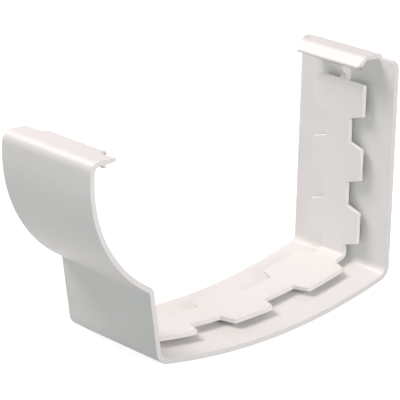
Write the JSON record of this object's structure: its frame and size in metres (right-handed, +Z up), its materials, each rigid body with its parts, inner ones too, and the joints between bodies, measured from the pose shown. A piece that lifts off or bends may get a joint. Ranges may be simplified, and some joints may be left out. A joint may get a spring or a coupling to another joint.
{
  "type": "gutter union",
  "caption": "Moulded plastic union that wraps and joins two ends of ogee gutter, with a toothed inner strip standing off the shell and a hooked lip along its front and back edges.",
  "frame": {"origin": "under the middle of the bounding box, level with the lowest line of the bowed bottom", "axes": "+X along the gutter run, +Y from the front of the gutter to its wall side, +Z up"},
  "size_m": [0.05, 0.1386, 0.0953],
  "materials": {
    "white_pvc": "opaque white moulded plastic, satin gloss"
  },
  "bodies": {
    "root": {"gutter_union": "white_pvc"}
  },
  "joints": []
}
